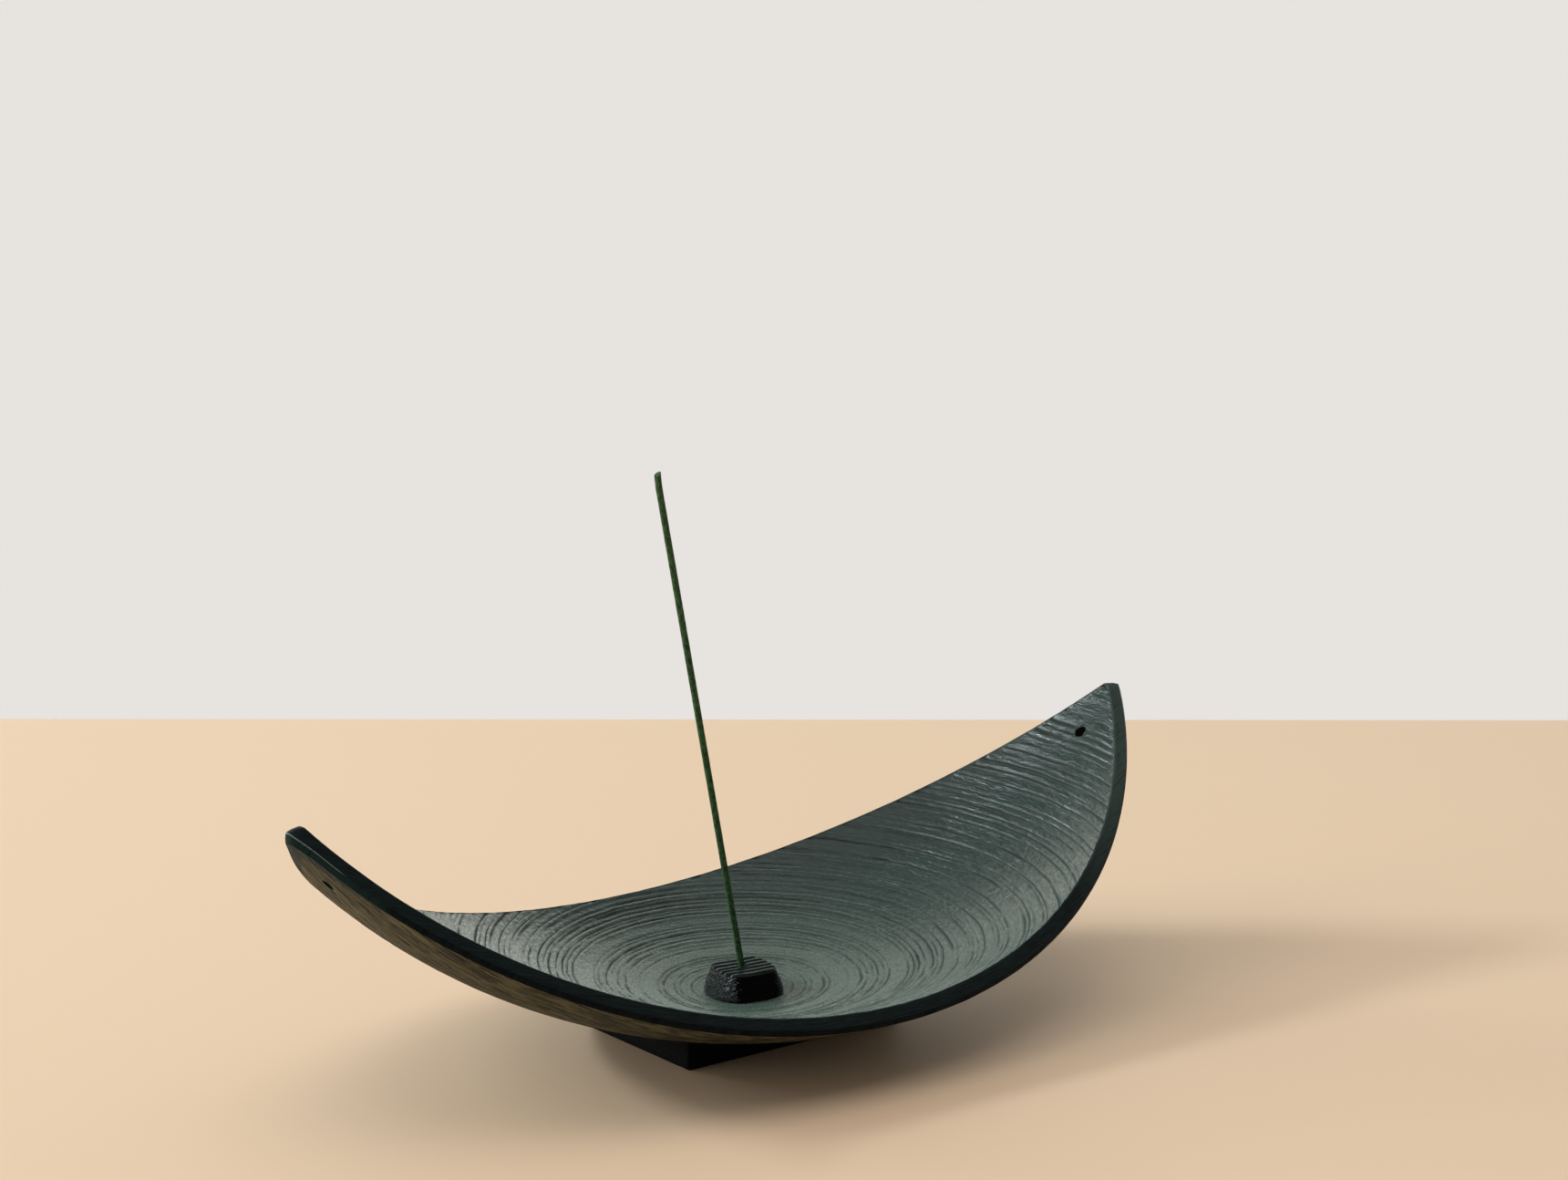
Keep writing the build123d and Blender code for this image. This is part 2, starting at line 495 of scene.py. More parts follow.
def column_angles():
    """Directions of the mesh's columns: even steps round the rim, and on the tips' corners."""
    fine = np.linspace(0, 2 * pi, 20000, endpoint=False)
    x, y = spread(fine, rim_reach(fine, outer_radius, BEVEL_UNDER_RIM))
    step = np.hypot(np.roll(x, -1) - x, np.roll(y, -1) - y)
    travelled = np.concatenate([[0], np.cumsum(step)])
    even = np.linspace(0, travelled[-1], COLUMNS, endpoint=False)
    angles = np.interp(even, travelled, np.append(fine, 2 * pi))
    for side in (-1, 1):
        for corner_y in tip_corners():
            corner = np.arctan2(corner_y - PITH_Y, side * half_length - PITH_X) % (2 * pi)
            angles[np.argmin(np.abs(angles - corner))] = corner
    return np.sort(angles)


def tip_corners():
    """Where the flat end of a tip has corners, across the dish: on its land and under it."""
    land = TIP_LAND_DROP / tan(RIM_SLOPE)
    y = np.linspace(0, 2 * WALL, 2000)
    under = y[np.argmax(bowl_depth(outer_radius, half_length, y) > lid_height(half_length, y))]
    return (-under, -land, land, under)


class Rings:
    """Grooves of the brushed growth rings: where each is, how wide and how deep.

    Going outwards, the surface drops steeply into a groove and climbs gently out of it.
    """

    def __init__(self):
        random = np.random.default_rng(21)
        rings = [(at, *BOLD_GROOVE) for at in BOLD_RINGS]
        at = FIRST_RING
        while at < RING_LIMIT:
            if min(abs(at - bold) for bold in BOLD_RINGS) > CLEAR_OF_BOLD:
                rings.append((at, FINE_GROOVE, random.uniform(*FINE_DEPTHS)))
            at += random.uniform(*FINE_RING_GAPS)
        self.at, self.width, self.depth = np.array(sorted(rings)).T

    def rows(self):
        """Ring coordinates of the mesh's rows: close together across each groove."""
        across = np.array((-STEEP_SIDE, 0, 0.5, 1))
        wanted = np.sort((self.at[:, None] + self.width[:, None] * across).ravel())
        rows = [FIRST_ROW]
        for row in wanted[wanted > 1]:
            gap = row - rows[-1]
            if gap < CLOSE_ROWS:
                continue
            parts = int(np.ceil(gap / ROW_GAP))
            rows.extend(rows[-1] + gap * (part + 1) / parts for part in range(parts))
        return np.array(rows)

    def groove(self, ring, angle):
        """How deep the grooves are at a ring coordinate."""
        after = np.clip(np.searchsorted(self.at, ring), 1, len(self.at) - 1)
        total = np.zeros(np.broadcast(ring, angle).shape)
        usual, slowly, fast = RING_STRENGTH
        for index in (after - 1, after):
            strength = usual + slowly * ring_depth.around(index * 7.0, angle)
            strength += fast * ring_break.around(index * 5.0, angle)
            strength = np.clip(strength, 0, RING_STRENGTH_LIMIT)
            offset = (ring - self.at[index]) / self.width[index]
            fall = np.clip(1 + offset / STEEP_SIDE, 0, 1)
            climb = np.clip(1 - offset, 0, 1)
            total += self.depth[index] * strength * np.minimum(fall, climb)
        return total


rings = Rings()


def ring_distance(ring, angle):
    """Distance from the pith of a point with this ring coordinate: rings are a bit wavy."""
    settle = np.clip(ring / SETTLED_RING, 0, 1)
    wave = RING_WAVE[0] * ring_wave.around(ring / RING_WAVE[1], angle)
    ripple = RING_RIPPLE[0] * ring_ripple.around(ring / RING_RIPPLE[1], angle)
    return ring + settle * (wave + ripple)


def ring_at(distance, angle):
    """Ring coordinate of a point at a distance from the pith."""
    ring = distance
    for _step in range(4):
        ring = ring + distance - ring_distance(ring, angle)
    return ring


def hollow_points(ring, angle, distance):
    """Points of the hollow's brushed surface, with their grain and their grooves' painted shade.
    """
    x, y = spread(angle, distance)
    groove = rings.groove(ring, angle)
    scratch_depth, scratch_gap = BRUSHING
    brushed = scratch_depth * brushing.around(ring / scratch_gap, angle)
    height = brushed * np.clip(ring / BRUSHED_RING, 0.2, 1) - scratch_depth - groove
    radius = BOWL_RADIUS - height
    away = stack(x, y, bowl_depth(BOWL_RADIUS, x, y) - bowl_height) / BOWL_RADIUS
    points = away * radius.reshape(-1, 1) + np.array((0, 0, bowl_height))
    grain = stack(RING_GRAIN_RADIUS * np.cos(angle), RING_GRAIN_RADIUS * np.sin(angle), ring)
    # painted shade in the grooves: darker where a groove is deeper, and weaker near the pith
    groove_shade = np.clip(groove / FULL_SHADE_DEPTH, 0, 1)**1.4 * np.clip(0.6 + ring / 100, 0, 1)
    return points, grain, groove_shade.ravel()


def side_coordinates(x, y, z, radius, below=0.0):
    """Place in the grain, which runs along the dish, of points this far below the rim."""
    round_length = np.arctan2(y, bowl_height - z) * outer_radius
    across = round_length + np.sign(y) * (radius - outer_radius)
    return stack(x / GRAIN_STRETCH, below / GRAIN_STRETCH, across)


def rim_profile():
    """Steps over the rim, its eased outer arris and its bevel: sphere radius and drop."""
    bevel_circle = np.sqrt(outer_radius**2 - rim_distance**2) - BEVEL_ON_RIM
    bevel_radius = hypot(bevel_circle, rim_distance)
    rim = [(BOWL_RADIUS, ARRIS)]
    for turn in np.radians((25, 50, 75)):
        rim.append((BOWL_RADIUS + ARRIS * (1 - cos(turn)), ARRIS * (1 - sin(turn))))
    start = BOWL_RADIUS + ARRIS
    end = bevel_radius - BEVEL_EASING
    rim += [(start + (end - start) * share, 0.0) for share in (0.0, 0.05, 0.35, 0.65, 1.0)]
    corner = np.array((bevel_radius, 0.0))
    down = np.array((outer_radius, BEVEL_UNDER_RIM)) - corner
    before = corner - (BEVEL_EASING, 0)
    after = corner + down * BEVEL_EASING / hypot(*down)
    eased = [before * (1 - t)**2 + corner * 2 * t * (1 - t) + after * t**2
             for t in (0.25, 0.5, 0.75, 1.0)]
    bevel = eased[2:] + [corner + down * share for share in (0.7, 0.9, 0.98)]
    return rim + eased[:1], eased[1:2], bevel


def add_hollow(skin, angles, edge):
    """The hollow's rows, out to where each column comes near the rim; gives their numbers."""
    ring = rings.rows()[:, None]
    distance = ring_distance(ring, angles[None, :])
    limits, sparse = zip(*SPARSE_COLUMNS)
    steps = np.select([ring < limit for limit in limits], sparse, 1)
    columns = np.arange(COLUMNS)[None, :]
    present = (distance < edge - 0.3) & (columns % steps == 0)
    numbers = np.full(distance.shape, -1)
    ring_there = np.broadcast_to(ring, distance.shape)[present]
    angle_there = np.broadcast_to(angles, distance.shape)[present]
    numbers[present] = skin.add(*hollow_points(ring_there, angle_there, distance[present]))
    middle = hollow_points(np.array([0.0]), np.array([0.0]), np.array([0.0]))
    centre = skin.add(*middle)[0]
    skin.fan(centre, numbers[0], steps[0, 0])
    whole = int(np.argmin((present | (columns % steps != 0)).all(axis=1)))
    for row in range(whole - 1):
        skin.band(numbers[row], numbers[row + 1], steps[row, 0], steps[row + 1, 0])
    return numbers, whole


def close_hollow(skin, numbers, whole, edge_row):
    """Faces where the rings run out at the rim, one pair of columns at a time."""
    tops = np.array([np.nonzero(column >= 0)[0].max() for column in numbers.T])
    for here in range(COLUMNS):
        there = (here + 1) % COLUMNS
        left, right = numbers[:, here], numbers[:, there]
        shared = min(tops[here], tops[there])
        for row in range(whole - 1, shared):
            skin.faces.append([left[row], left[row + 1], right[row + 1], right[row]])
        if tops[here] <= tops[there]:
            corner = edge_row[here]
            skin.faces.append([left[shared], corner, right[shared]])
            for row in range(shared, tops[there]):
                skin.faces.append([right[row], corner, right[row + 1]])
            skin.faces.append([right[tops[there]], corner, edge_row[there]])
        else:
            corner = edge_row[there]
            skin.faces.append([left[shared], corner, right[shared]])
            for row in range(shared, tops[here]):
                skin.faces.append([left[row], left[row + 1], corner])
            skin.faces.append([left[tops[here]], edge_row[here], corner])


def add_rim(skin, angles, profile):
    """Rows over part of the rim; gives their numbers."""
    rows = []
    for step, (radius, drop) in enumerate(profile):
        distance = rim_reach(angles, radius, drop)
        if radius == BOWL_RADIUS:
            rows.append(skin.add(*hollow_points(ring_at(distance, angles), angles, distance)))
            continue
        x, y = spread(angles, distance)
        uneven = RIM_UNEVENNESS * (rim_unevenness.around(step * 0.7, angles) - 0.6)
        z = lid_height(x, y, drop) + np.minimum(uneven, 0)
        rows.append(skin.add(stack(x, y, z), side_coordinates(x, y, z, radius), 0.0))
    return rows


def add_outside(skin, angles):
    """Rows down the outside to its lowest point; gives their numbers and column steps."""
    edge = rim_reach(angles, outer_radius, BEVEL_UNDER_RIM + OUTER_START)
    rows, steps = [], []
    for row in range(OUTER_ROWS):
        share = 1 - row / OUTER_ROWS
        x, y = spread(angles, edge * share)
        z = bowl_depth(outer_radius, x, y)
        away = stack(x, y, z - bowl_height) / outer_radius
        round_length = np.arctan2(y, bowl_height - z) * outer_radius
        fade = min(row / 3, 1)
        inward = fade * SIDE_UNEVENNESS * (1 + side_grain(round_length / 2.3, x / 26))
        points = stack(x, y, z) - away * inward[:, None]
        below = edge * (1 - share)
        rows.append(skin.add(points, side_coordinates(x, y, z, outer_radius, below), 0.0))
        steps.append(next(step for least, step in SPARSE_OUTSIDE if share > least))
    return rows, steps


def close_bottom(skin, outside, steps):
    """Faces of the outside, from its edge to its lowest point under the pith."""
    for row in range(OUTER_ROWS - 1):
        skin.band(outside[row], outside[row + 1], steps[row], steps[row + 1])
    low = np.array([[PITH_X, PITH_Y, bowl_depth(outer_radius, PITH_X, PITH_Y)]])
    bottom = skin.add(low, side_coordinates(*low.T, outer_radius, half_length), 0.0)[0]
    skin.fan(bottom, outside[-1], steps[-1], inside_first=False)


def make_dish(*materials):
    skin = Skin()
    angles = column_angles()
    numbers, whole = add_hollow(skin, angles, rim_reach(angles, BOWL_RADIUS, ARRIS))
    rim, arris, bevel = (add_rim(skin, angles, profile) for profile in rim_profile())
    outside, steps = add_outside(skin, angles)
    close_hollow(skin, numbers, whole, rim[0])
    skin.finish(IN_HOLLOW)
    arris = rim[-1:] + arris
    bevel = arris[-1:] + bevel + outside[:1]
    for number, rows in ((ON_RIM, rim), (ON_ARRIS, arris), (ON_BEVEL, bevel)):
        skin.bands(rows)
        skin.finish(number)
    close_bottom(skin, outside, steps)
    skin.finish(ON_OUTSIDE)
    for points in skin.points:
        round_tips(points)
    dish = skin.make("dish_wood", materials)
    drop_unused_points(dish)
    for mount in frame["record"]["mounts"]:
        if mount["kind"] == "bore":
            drill(dish, mount)
    return dish


def round_tips(points):
    """Lowers the ends of both tips, so that they slope down outwards."""
    x = points[:, 0]
    share = np.clip((np.abs(x) - half_length) / TIP_ROUNDING + 1, 0, 1)
    points[:, 2] -= np.where(x > 0, TIP_DROP_RIGHT, TIP_DROP_LEFT) * share**1.5


def drop_unused_points(piece):
    """Removes the points of skipped columns, which no face uses."""
    used = np.zeros(len(piece.data.vertices), bool)
    corners = np.zeros(len(piece.data.loops), int)
    piece.data.loops.foreach_get("vertex_index", corners)
    used[corners] = True
    mesh = bmesh.new()
    mesh.from_mesh(piece.data)
    mesh.verts.ensure_lookup_table()
    loose = [mesh.verts[number] for number in np.nonzero(~used)[0]]
    bmesh.ops.delete(mesh, geom=loose, context="VERTS")
    mesh.to_mesh(piece.data)
    mesh.free()


def drill_bit(mount):
    """A rod through a mount's round hole, as a mesh."""
    radius = mount["dims"]["r_mm"] * METRES
    reach = 2 * mount["dims"]["length_mm"] * METRES
    turn = Vector(mount["axis"]).to_track_quat("Z", "Y").to_matrix()
    points = []
    for end in (-reach, reach):
        for angle in np.linspace(0, 2 * pi, DRILL_SIDES, endpoint=False):
            corner = Vector((radius * cos(angle), radius * sin(angle), end))
            points.append(turn @ corner + Vector(mount["pos_m"]))
    faces = [list(range(DRILL_SIDES))[::-1], list(range(DRILL_SIDES, 2 * DRILL_SIDES))]
    for here in range(DRILL_SIDES):
        there = (here + 1) % DRILL_SIDES
        faces.append([here, there, DRILL_SIDES + there, DRILL_SIDES + here])
    mesh = bpy.data.meshes.new("drill")
    mesh.from_pydata(points, [], faces)
    return mesh


def drill(piece, mount):
    """Cuts a mount's round hole through the piece, with walls like its rim."""
    mesh = drill_bit(mount)
    for material in piece.data.materials:
        mesh.materials.append(material)
    mesh.polygons.foreach_set("material_index", [ON_RIM] * len(mesh.polygons))
    tool = bpy.data.objects.new("drill", mesh)
    bpy.context.scene.collection.objects.link(tool)
    cut = piece.modifiers.new("drill", "BOOLEAN")
    cut.operation = "DIFFERENCE"
    cut.solver = "MANIFOLD"
    cut.object = tool
    shaped = piece.evaluated_get(bpy.context.evaluated_depsgraph_get())
    piece.data = bpy.data.meshes.new_from_object(shaped)
    piece.modifiers.clear()
    bpy.data.objects.remove(tool)


# ------ foot

FOOT_EASING = 0.35           # of its edges
FOOT_ARC_POINTS = 5          # round each upright edge
FOOT_SIDE_PARTS = 40
FOOT_GRAIN_PLACE = (0, 0, 30)        # cut from another part of the wood


def foot_outline():
    """Points round the block, seen from above, with its upright edges eased."""
    turns = np.linspace(0, pi / 2, FOOT_ARC_POINTS)
    arcs = []
    for quarter in range(4):
        middle = (quarter + 0.5) * pi / 2
        x = np.sign(cos(middle)) * (foot_high.x - FOOT_EASING)
        y = np.sign(sin(middle)) * (foot_high.y - FOOT_EASING)
        turn = turns + quarter * pi / 2
        arcs.append(stack(x + FOOT_EASING * np.cos(turn), y + FOOT_EASING * np.sin(turn)))
    outline = []
    for arc, after in zip(arcs, arcs[1:] + arcs[:1]):
        outline += [arc, np.linspace(arc[-1], after[0], FOOT_SIDE_PARTS + 1)[1:-1]]
    return np.concatenate(outline)


def foot_bed(plan):
    """Height of the foot's top, which is bedded on the dish."""
    return bowl_depth(outer_radius + GLUE_LINE, plan[:, 0], plan[:, 1])


def add_foot_row(skin, plan, height):
    points = stack(plan[:, 0], plan[:, 1], height)
    return skin.add(points, points * (1 / GRAIN_STRETCH, 1, 1) + FOOT_GRAIN_PLACE, 0.0)


def make_foot(material):
    """The block under the dish, from the middle of its underside round to that of its top."""
    plan = foot_outline()
    half = np.array((foot_high.x, foot_high.y))
    skin = Skin()
    rows = []
    for share in (0.25, 0.5, 0.75, 0.99):
        rows.append(add_foot_row(skin, plan * share, 0.0))
    for turn in np.radians((0, 30, 60, 90)):
        inset = plan * (1 - FOOT_EASING * (1 - sin(turn)) / half)
        rows.append(add_foot_row(skin, inset, FOOT_EASING * (1 - cos(turn))))
    for share in (0.2, 0.4, 0.6, 0.8, 1.0):
        height = FOOT_EASING + (foot_bed(plan) - FOOT_EASING) * share
        rows.append(add_foot_row(skin, plan, height))
    for share in (0.97, 0.8, 0.6, 0.4, 0.2):
        rows.append(add_foot_row(skin, plan * share, foot_bed(plan * share)))
    skin.bands(rows, outwards=False)
    middle = np.zeros((1, 2))
    underside = add_foot_row(skin, middle, 0.0)[0]
    top = add_foot_row(skin, middle, foot_bed(middle))[0]
    skin.fan(underside, rows[0], inside_first=False)
    skin.fan(top, rows[-1])
    return skin.make("foot_block", [material])


# ------ holder

ON_TOP, ON_SIDE, ON_END = range(3)       # numbers of its materials
SHOULDER_TURNS = np.radians((15, 30, 45, 60, 75))       # of the rows round its top's edge

end_grain = Noise(41, 90, 90)
top_wander = Noise(42, 12, 24)
top_strength = Noise(43, 64, 9)
holder_angles = np.linspace(0, 2 * pi, HOLDER_COLUMNS, endpoint=False)


def holder_place():
    """Where the holder stands: slid over the hollow from its lowest point, and turned."""
    centre = Matrix.Translation((0, 0, bowl_height * METRES))
    lean = Matrix.Rotation(asin(HOLDER_Y / BOWL_RADIUS), 4, "X")
    lean = lean @ Matrix.Rotation(-asin(HOLDER_X / BOWL_RADIUS), 4, "Y")
    return centre @ lean @ centre.inverted() @ Matrix.Rotation(HOLDER_TURN, 4, "Z")


def holder_reach(height):
    """How far the holder's side stands out, a dome cut by four flats that lean in."""
    share = height / HOLDER_HEIGHT
    dome = HOLDER_BASE_RADIUS + (HOLDER_TOP_RADIUS - HOLDER_BASE_RADIUS) * share
    dome = dome + 4 * HOLDER_BULGE * share * (1 - share)
    skirt = np.clip(1 - 3 * share, 0, 1)**2 * HOLDER_SKIRT
    end = (HOLDER_LENGTH + (HOLDER_TOP_FLATS - HOLDER_LENGTH) * share) / 2 + skirt
    side = (HOLDER_WIDTH + (HOLDER_TOP_FLATS - HOLDER_WIDTH) * share) / 2 + skirt
    total = dome**-HOLDER_CORNERS
    for flat, facing in ((end, np.cos(holder_angles)), (side, np.sin(holder_angles))):
        total = total + (flat / np.maximum(np.abs(facing), 1e-3))**-HOLDER_CORNERS
    return total**(-1 / HOLDER_CORNERS)


def holder_bed(distance):
    """Height of the holder's underside, which follows the hollow, over its lowest point."""
    return bowl_depth(BOWL_RADIUS - HOLDER_GAP, distance, 0.0) - hollow_floor


def holder_top_groove(x, y):
    """Depth of the grain's grooves on the holder's top, from 0 on a ridge to 1."""
    line = (y + 0.3 * top_wander(y / 4, x / 5)) / GRAIN_RIDGE_GAP
    wave = np.clip(0.55 + 1.1 * np.cos(2 * pi * line), 0, 1)
    strength = 0.85 + 0.3 * top_strength(np.round(line) * 3.0, x / 4)
    return np.clip(wave * strength, 0, 1)


def add_holder_row(skin, distance, height, grooved=0.0, rough=0.0):
    """One closed row round the block, with shares of the top's grooves and the ends' pits."""
    x, y = distance * np.cos(holder_angles), distance * np.sin(holder_angles)
    groove = holder_top_groove(x, y) * grooved
    facing = np.abs(np.cos(holder_angles))**2 * rough
    pits = 1 + end_grain.around(height / 0.45, holder_angles)
    marks = 1 + end_grain.around(height / 0.9 + 40, holder_angles)
    inward = facing * END_GRAIN_DEPTH * pits + rough * 0.02 * marks
    scale = 1 - inward / np.maximum(distance, 1)
    z = height - groove * GRAIN_RIDGE_DEPTH + hollow_floor
    points = stack(x * scale, y * scale, z)
    # the depth of the top's grooves also sets their painted shade
    return skin.add(points, stack(x / 6, y, z), groove)


def add_holder_top(skin):
    """Rows up the stick's hole, and out over the top to the first of its shoulder."""
    rows = []
    mouth = HOLDER_HEIGHT - 0.3
    low = holder_bed(STICK_HOLE_RADIUS)
    for share in (0.0, 0.3, 0.6, 0.9):
        rows.append(add_holder_row(skin, STICK_HOLE_RADIUS, low + (mouth - low) * share))
    start = STICK_HOLE_RADIUS + 0.08
    edge = holder_reach(HOLDER_HEIGHT) - HOLDER_SHOULDER * 0.7
    for share in np.linspace(0, 1, 40):
        distance = start + (edge - start) * share
        grooved = min(1, 0.3 + share * 12)
        rows.append(add_holder_row(skin, distance, HOLDER_HEIGHT, grooved=grooved))
    side = holder_reach(HOLDER_HEIGHT - HOLDER_SHOULDER)
    for turn in SHOULDER_TURNS:
        height = HOLDER_HEIGHT - HOLDER_SHOULDER * (1 - cos(turn))
        distance = edge + (side - edge) * sin(turn)
        rows.append(add_holder_row(skin, distance, height, grooved=cos(turn)**2, rough=sin(turn)))
    return rows


def add_holder_side(skin):
    """Rows down the sides, and in over the underside close to the stick's hole."""
    rows = []
    edge = holder_reach(0.0) - HOLDER_TOE * 0.6
    low = holder_bed(edge)
    top = HOLDER_HEIGHT - HOLDER_SHOULDER
    for share in np.linspace(0, 1, 34):
        height = top + (low + HOLDER_TOE - top) * share
        rows.append(add_holder_row(skin, holder_reach(height), height, rough=1.0))
    side = holder_reach(low + HOLDER_TOE)
    for turn in np.radians((22, 45, 67, 90)):
        height = low + HOLDER_TOE * (1 - sin(turn))
        distance = edge + (side - edge) * cos(turn)
        rows.append(add_holder_row(skin, distance, height, rough=cos(turn)))
    for share in (0.75, 0.5, 0.25, 0.02):
        distance = STICK_HOLE_RADIUS + (edge - STICK_HOLE_RADIUS) * share
        rows.append(add_holder_row(skin, distance, holder_bed(distance)))
    return rows


def make_holder(*materials):
    """The block, its shoulder finished like its sides but for the first row."""
    skin = Skin()
    rows = add_holder_top(skin)
    split = len(rows) - len(SHOULDER_TURNS) + 1
    rows += add_holder_side(skin)
    skin.bands(rows[:split + 1])
    skin.finish(ON_TOP)
    for row, (near, far) in enumerate(zip(rows[split:], rows[split + 1:] + rows[:1])):
        skin.band(near, far)
        reach = END_GRAIN_REACH * (1 + 0.2 * end_grain.around(row * 0.8, holder_angles))
        sawn = np.abs(np.cos(holder_angles)) > np.cos(reach)
        skin.finish(np.where(sawn, ON_END, ON_SIDE))
    return skin.make("holder_block", materials, holder_place())


# ------ stick

stick_skin = Noise(51, 400, 12)
stick_angles = np.linspace(0, 2 * pi, STICK_SIDES, endpoint=False)


def stick_frame():
    """The stick's lower end and its axis, with the side that it leans towards first."""
    axis = Vector(next(j["axis"] for j in frame["joints"] if j["name"] == "stick_pull"))
    low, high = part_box("incense_stick")
    radius = STICK_RADIUS * METRES
    foot = Vector((high.x - radius * (1 - axis.x**2)**0.5,
                   high.y - radius * (1 - axis.y**2)**0.5,
                   low.z + radius * (1 - axis.z**2)**0.5))
    lean = Vector((axis.x, axis.y, 0)).normalized()
    across = axis.cross(lean).normalized()
    turn = Matrix((across.cross(axis), across, axis)).transposed()
    return Matrix.Translation(foot) @ turn.to_4x4()


def stick_cut(share):
    """How far along the stick its slanting cut is, at a share of its radius."""
    return STICK_LENGTH - tan(STICK_CUT) * STICK_RADIUS * (1 + share * np.cos(stick_angles))


def add_stick_row(skin, share, along):
    """One closed row at a share of the stick's radius, bent over towards the upper end."""
    rough = STICK_ROUGHNESS * (1 + stick_skin.around(along / 0.8, stick_angles))
    distance = (STICK_RADIUS - rough) * share
    past = (along - STICK_LENGTH + STICK_CURL_LENGTH) / STICK_CURL_LENGTH
    bend = STICK_CURL * np.clip(past, 0, 1)**2
    x, y = distance * np.cos(stick_angles), distance * np.sin(stick_angles)
    grain = stack(np.cos(stick_angles) * 2, np.sin(stick_angles) * 2, along)
    return skin.add(stack(x - bend, y, along), grain, 0.0)


def make_stick(material):
    skin = Skin()
    rows = [add_stick_row(skin, 0.5, 0.0), add_stick_row(skin, 0.9, 0.0)]
    below_cut = STICK_LENGTH - 2 * STICK_RADIUS * tan(STICK_CUT) - 0.2
    for along in np.linspace(0.08, below_cut, STICK_ROWS):
        rows.append(add_stick_row(skin, 1.0, along))
    for share in (1.0, 0.9, 0.45):
        rows.append(add_stick_row(skin, share, stick_cut(share)))
    skin.bands(rows, outwards=False)
    low = skin.add(np.zeros((1, 3)), np.zeros((1, 3)), 0.0)[0]
    middle = np.array([[-STICK_CURL, 0, STICK_LENGTH - tan(STICK_CUT) * STICK_RADIUS]])
    high = skin.add(middle, np.array([[0, 0, STICK_LENGTH]]), 0.0)[0]
    skin.fan(low, rows[0], inside_first=False)
    skin.fan(high, rows[-1])
    return skin.make("incense", [material], stick_frame())


# ------ materials

SHEEN_TINT = (0.65, 1.0, 0.85, 1)
PASTE_DARK = (0.012, 0.033, 0.012)
PASTE_LIGHT = (0.060, 0.130, 0.052)
PASTE_SPECKS = (0.10, 0.18, 0.08)


class Material(Nodes):
    """A procedural material whose nodes read the mesh's grain."""

    def __init__(self, name):
        self.material = bpy.data.materials.new(name)
        self.material.use_nodes = True
        super().__init__(self.material.node_tree)
        self.shader = self.tree.nodes["Principled BSDF"]
        self.grain = self.attribute("grain", "Vector")


class Wood(Material):
    """The patterns that colour, gloss and bumps share: painted shade in grooves, lines, streaks,
    pores.
    """

    def __init__(self, name, coarse):
        super().__init__(name)
        self.groove_shade = self.attribute("groove_shade", "Fac")
        long_grain = self.scaled(self.grain, (0.25, 0.25, 1.0))
        self.lines = self.noise(long_grain, 2.0 / coarse, 2.0, 0.7)
        self.streaks = self.noise(self.grain, 1.6 / coarse, 4.0, 0.7)
        self.pores = self.ramp(self.cells(self.grain, 1.3 / coarse), 0.05, 0.35, 1.0, 0.0)


def sanding_and_highlight_colour(wood, place, colour, sanding_and_highlight):
    """The colour of a patch that wraps under both tips, deepest at the very end of each: sanding,
    and on the arris a painted highlight.
    """
    length, patch_colour = sanding_and_highlight
    tip = half_length / GRAIN_STRETCH
    inner = (half_length - length) / GRAIN_STRETCH
    along = wood.math("ABSOLUTE", place.outputs["X"])
    reach = wood.ramp(along, inner, tip, -0.5, SANDING_AND_HIGHLIGHT_DEPTH)
    below = wood.math("MULTIPLY", place.outputs["Y"], GRAIN_STRETCH)
    inside = wood.ramp(wood.math("SUBTRACT", reach, below), -0.4, 0.4)
    return wood.mix(inside, colour, patch_colour)


def stain_colour(wood, dark, light, painted_light, sanding_and_highlight):
    """The stain's colour, between dark and light, before any of its dark marks."""
    blotches = wood.ramp(wood.noise(wood.grain, 0.09), 0.35, 0.65, 0.0, 0.15)
    tone = wood.math("ADD", wood.ramp(wood.streaks, 0.42, 0.58, 0.0, 0.4), blotches)
    tone = wood.math("ADD", tone, wood.ramp(wood.lines, 0.42, 0.58, 0.0, 0.45))
    colour = wood.mix(tone, dark, light)
    place = wood.node("ShaderNodeSeparateXYZ")
    wood.link(wood.grain, place.inputs[0])
    # painted light: a paler colour painted in along one axis of the grain
    if painted_light:
        axis, start, end, pale = painted_light
        colour = wood.mix(wood.ramp(place.outputs[axis], start, end), colour, pale)
    # sanding under both tips, and on the arris a painted highlight
    if sanding_and_highlight:
        colour = sanding_and_highlight_colour(wood, place, colour, sanding_and_highlight)
    return colour


def dark_marks(wood, dashes):
    """How much the painted shade in the grooves, the pores and the dashes hide the stain."""
    hidden = wood.math("MAXIMUM", wood.math("MULTIPLY", wood.groove_shade, 0.97),
                       wood.math("MULTIPLY", wood.pores, 0.75))
    if dashes:
        short = wood.noise(wood.scaled(wood.grain, (3.5, 3.5, 1.0)), 0.5, 2.0, 0.6)
        hidden = wood.math("MAXIMUM", hidden, wood.ramp(short, 0.42, 0.50, dashes, 0.0))
    return hidden


def grain_relief(wood, relief, glints):
    """The bumpy surface's normal."""
    normal = wood.bump(wood.lines, relief)
    normal = wood.bump(wood.streaks, relief * 0.8, normal)
    normal = wood.bump(wood.noise(wood.grain, 4.0, 3.0, 0.65), relief * 0.3, normal)
    normal = wood.bump(wood.math("SUBTRACT", 1.0, wood.pores), relief * 0.3, normal)
    if glints:
        chips = wood.noise(wood.scaled(wood.grain, (2.5, 2.5, 1.0)), 1.1, 3.0, 0.6)
        normal = wood.bump(chips, glints, normal)
    return normal


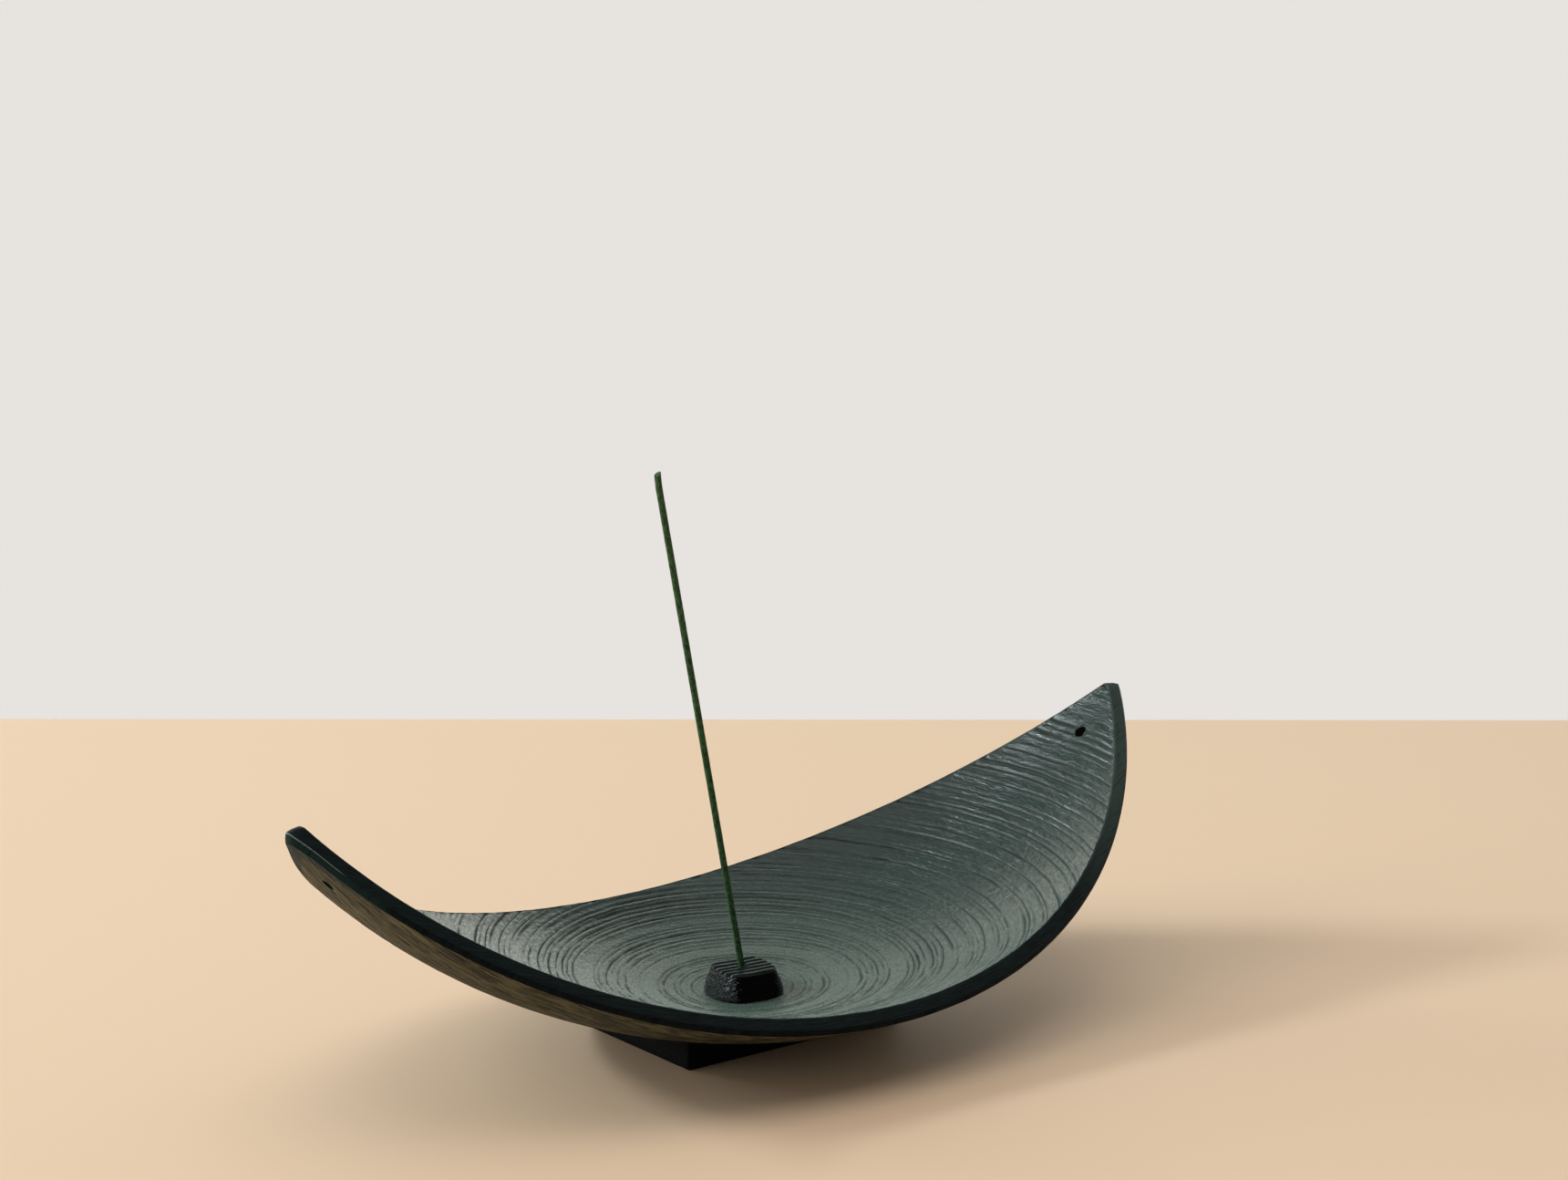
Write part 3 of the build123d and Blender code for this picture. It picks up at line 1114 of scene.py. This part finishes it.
def stained_wood(name, dark, light, gloss, relief, shine=0.5, sheen=0.0, coarse=1.0,
                 glints=0.0, dashes=0.0, painted_light=None, sanding_and_highlight=None):
    """Brushed wood under a thin dark stain: lines, streaks and pores along the grain, and painted
    shade in its grooves.

    dark and light are the stain's colours, gloss its least roughness, and relief the depth of
    its bumps. coarse widens the grain, glints is the depth of chips that catch the light, and
    dashes is how dark short marks are. painted_light is a paler colour painted in along one
    axis of the grain, between two places, standing in for light, and sanding_and_highlight is
    one that wraps under both tips, over a length: sanding, and on the arris a painted highlight.
    """
    wood = Wood(name, coarse)
    colour = stain_colour(wood, dark, light, painted_light, sanding_and_highlight)
    # painted shade in the grooves, and the pores and dashes, darken the stain to this colour
    in_marks = tuple(0.12 * part for part in dark)
    colour = wood.mix(dark_marks(wood, dashes), colour, in_marks)
    roughness = wood.ramp(wood.streaks, 0.35, 0.65, gloss + 0.2, gloss)
    roughness = wood.math("MAXIMUM", roughness, wood.math("POWER", wood.groove_shade, 1.5))
    sockets = wood.shader.inputs
    wood.link(colour, sockets["Base Color"])
    wood.link(roughness, sockets["Roughness"])
    wood.link(grain_relief(wood, relief, glints), sockets["Normal"])
    sockets["Specular IOR Level"].default_value = shine
    sockets["Sheen Weight"].default_value = sheen
    sockets["Sheen Roughness"].default_value = 0.5
    sockets["Sheen Tint"].default_value = SHEEN_TINT
    return wood.material


def pressed_incense(name):
    """Matt incense paste, mottled in greens."""
    paste = Material(name)
    mottle = paste.noise(paste.grain, 0.8, 5.0, 0.65)
    specks = paste.noise(paste.grain, 4.0, 2.0, 0.6)
    colour = paste.mix(paste.ramp(mottle, 0.35, 0.65), PASTE_DARK, PASTE_LIGHT)
    colour = paste.mix(paste.ramp(specks, 0.62, 0.72), colour, PASTE_SPECKS)
    paste.link(colour, paste.shader.inputs["Base Color"])
    paste.link(paste.ramp(mottle, 0.3, 0.7, 0.75, 0.92), paste.shader.inputs["Roughness"])
    paste.shader.inputs["Specular IOR Level"].default_value = 0.15
    paste.link(paste.bump(specks, 0.04), paste.shader.inputs["Normal"])
    return paste.material


# ------ assembly

def finish_piece(piece, body, node):
    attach(piece, body)
    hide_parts(node)


bpy.context.scene.view_settings.view_transform = "Standard"
make_camera()
make_world()
make_lights()
make_floor()
dish = make_dish(
    stained_wood("brushed_hollow", (0.0015, 0.0065, 0.005), (0.008, 0.026, 0.020), gloss=0.17,
                 relief=0.14, shine=0.33, sheen=0.18, glints=0.25,
                 # paler towards the middle of the hollow: a painted reflection of the bright wall
                 # at a grazing view
                 painted_light=("Z", 60.0, 15.0, (0.036, 0.056, 0.042))),
    # the rim's paler right end is painted light
    stained_wood("sanded_rim_and_painted_light", (0.001, 0.003, 0.004), (0.005, 0.014, 0.013), gloss=0.5,
                 relief=0.14, shine=0.08, painted_light=("X", 7.0, 12.5, (0.040, 0.062, 0.054))),
    # the pale patch on the arris near both tips is a painted highlight
    stained_wood("arris", (0.002, 0.004, 0.005), (0.006, 0.011, 0.012), gloss=0.35,
                 relief=0.08, shine=0.12, sanding_and_highlight=(9.0, (0.10, 0.13, 0.13))),
    stained_wood("bevel", (0.001, 0.003, 0.004), (0.004, 0.008, 0.010), gloss=0.5,
                 relief=0.08, shine=0.05, sanding_and_highlight=(17.0, (0.006, 0.016, 0.015))),
    stained_wood("outside", (0.006, 0.007, 0.003), (0.120, 0.110, 0.052), gloss=0.5,
                 relief=0.14, shine=0.10, coarse=2.0, dashes=0.8,
                 sanding_and_highlight=(20.0, (0.012, 0.022, 0.021))),
)
foot = make_foot(
    stained_wood("black_wood", (0.001, 0.001, 0.001), (0.002, 0.002, 0.003), gloss=0.5,
                 relief=0.05, shine=0.05))
holder = make_holder(
    # the top's paler colour is a painted reflection of the bright wall
    stained_wood("holder_top", (0.010, 0.017, 0.015), (0.036, 0.056, 0.050), gloss=0.25,
                 relief=0.05, shine=0.06),
    stained_wood("holder_side", (0.0002, 0.0002, 0.0002), (0.0006, 0.0007, 0.0008), gloss=0.3,
                 relief=0.1, shine=0.06),
    stained_wood("holder_end", (0.001, 0.003, 0.003), (0.004, 0.011, 0.011), gloss=0.1,
                 relief=0.15, shine=0.45, glints=1.2),
)
stick = make_stick(pressed_incense("incense_paste"))
finish_piece(dish, "dish", "dish")
finish_piece(foot, "dish", "foot")
finish_piece(holder, "holder", "stick_holder")
finish_piece(stick, "stick", "incense_stick")
